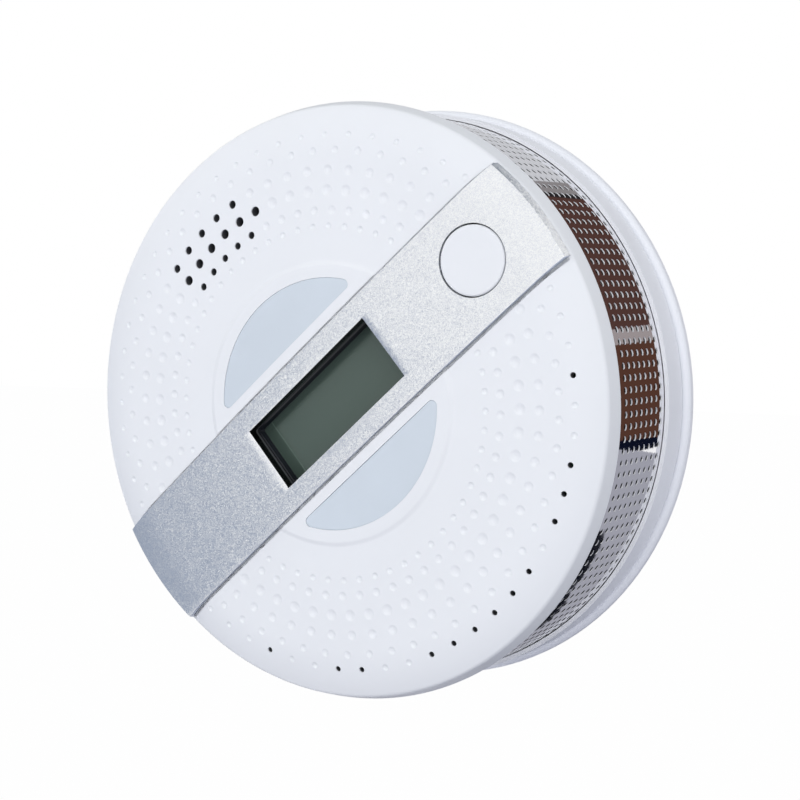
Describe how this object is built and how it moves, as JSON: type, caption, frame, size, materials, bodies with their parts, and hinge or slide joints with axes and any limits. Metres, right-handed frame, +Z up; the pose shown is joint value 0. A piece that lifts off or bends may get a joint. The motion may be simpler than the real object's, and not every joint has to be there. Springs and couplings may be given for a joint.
{
  "type": "carbon monoxide detector",
  "caption": "Round wall-mounted carbon monoxide detector with a perforated steel band, a slanted silver bar with a display and test button, and a twist-off plate.",
  "frame": {"origin": "middle of the mounting plate's back face, which lies on the wall", "axes": "+Y into the wall, so the front faces -Y; +X to the right seen from the front; +Z up the wall"},
  "size_m": [0.1122, 0.0392, 0.1122],
  "materials": {
    "white_plastic": "satin",
    "silver_trim": "silver flake paint",
    "mesh_steel": "polished",
    "lens_plastic": "translucent",
    "display_glass": "dark",
    "black_plastic": "matt",
    "ivory_plastic": "matt",
    "board_laminate": "lacquered",
    "elastomer": "matt",
    "led_epoxy": "clear",
    "dark_epoxy": "dark",
    "plated_steel": "plated",
    "can_aluminium": "satin",
    "disc_brass": "satin",
    "cell_sleeve": "printed sleeve",
    "sensor_body": "matt"
  },
  "bodies": {
    "wall_plate": {"mounting_plate": "white_plastic"},
    "detector": {"rear_case": "white_plastic", "mesh_band": "mesh_steel", "front_cover": "white_plastic", "silver_bar": "silver_trim", "light_window_upper": "lens_plastic", "light_window_lower": "lens_plastic", "lcd_bezel": "black_plastic", "lcd_glass": "display_glass", "lcd_holder": "black_plastic", "lcd_connectors": "elastomer", "circuit_board": "board_laminate", "processor_chip": "black_plastic", "capacitors": "can_aluminium", "status_leds": "led_epoxy", "tact_switch": "black_plastic", "sounder_housing": "black_plastic", "piezo_disc": "disc_brass", "co_cell": "sensor_body", "smoke_chamber_base": "black_plastic", "smoke_chamber_cover": "black_plastic", "smoke_emitter": "led_epoxy", "smoke_receiver": "dark_epoxy", "battery_1": "cell_sleeve", "battery_2": "cell_sleeve", "battery_3": "cell_sleeve", "contact_plates": "plated_steel", "contact_springs": "plated_steel", "case_screws": "plated_steel", "board_screws": "plated_steel"},
    "button": {"test_button": "white_plastic"},
    "plunger": {"switch_plunger": "ivory_plastic"}
  },
  "joints": [
    {"name": "twist_off", "type": "hinge", "parent": "wall_plate", "child": "detector", "pos_m": [0, 0, 0], "axis": [0, -1, 0], "range_deg": [0, 12]},
    {"name": "button_press", "type": "slide", "parent": "detector", "child": "button", "axis": [0, 1, 0], "range_m": [0, 0.0005], "stiffness_N_per_m": 1500},
    {"name": "plunger_press", "type": "slide", "parent": "detector", "child": "plunger", "axis": [0, 1, 0], "range_m": [0, 0.0005]}
  ],
  "couplings": [
    {"joint": "plunger_press", "follows": "button_press", "ratio": 1}
  ]
}
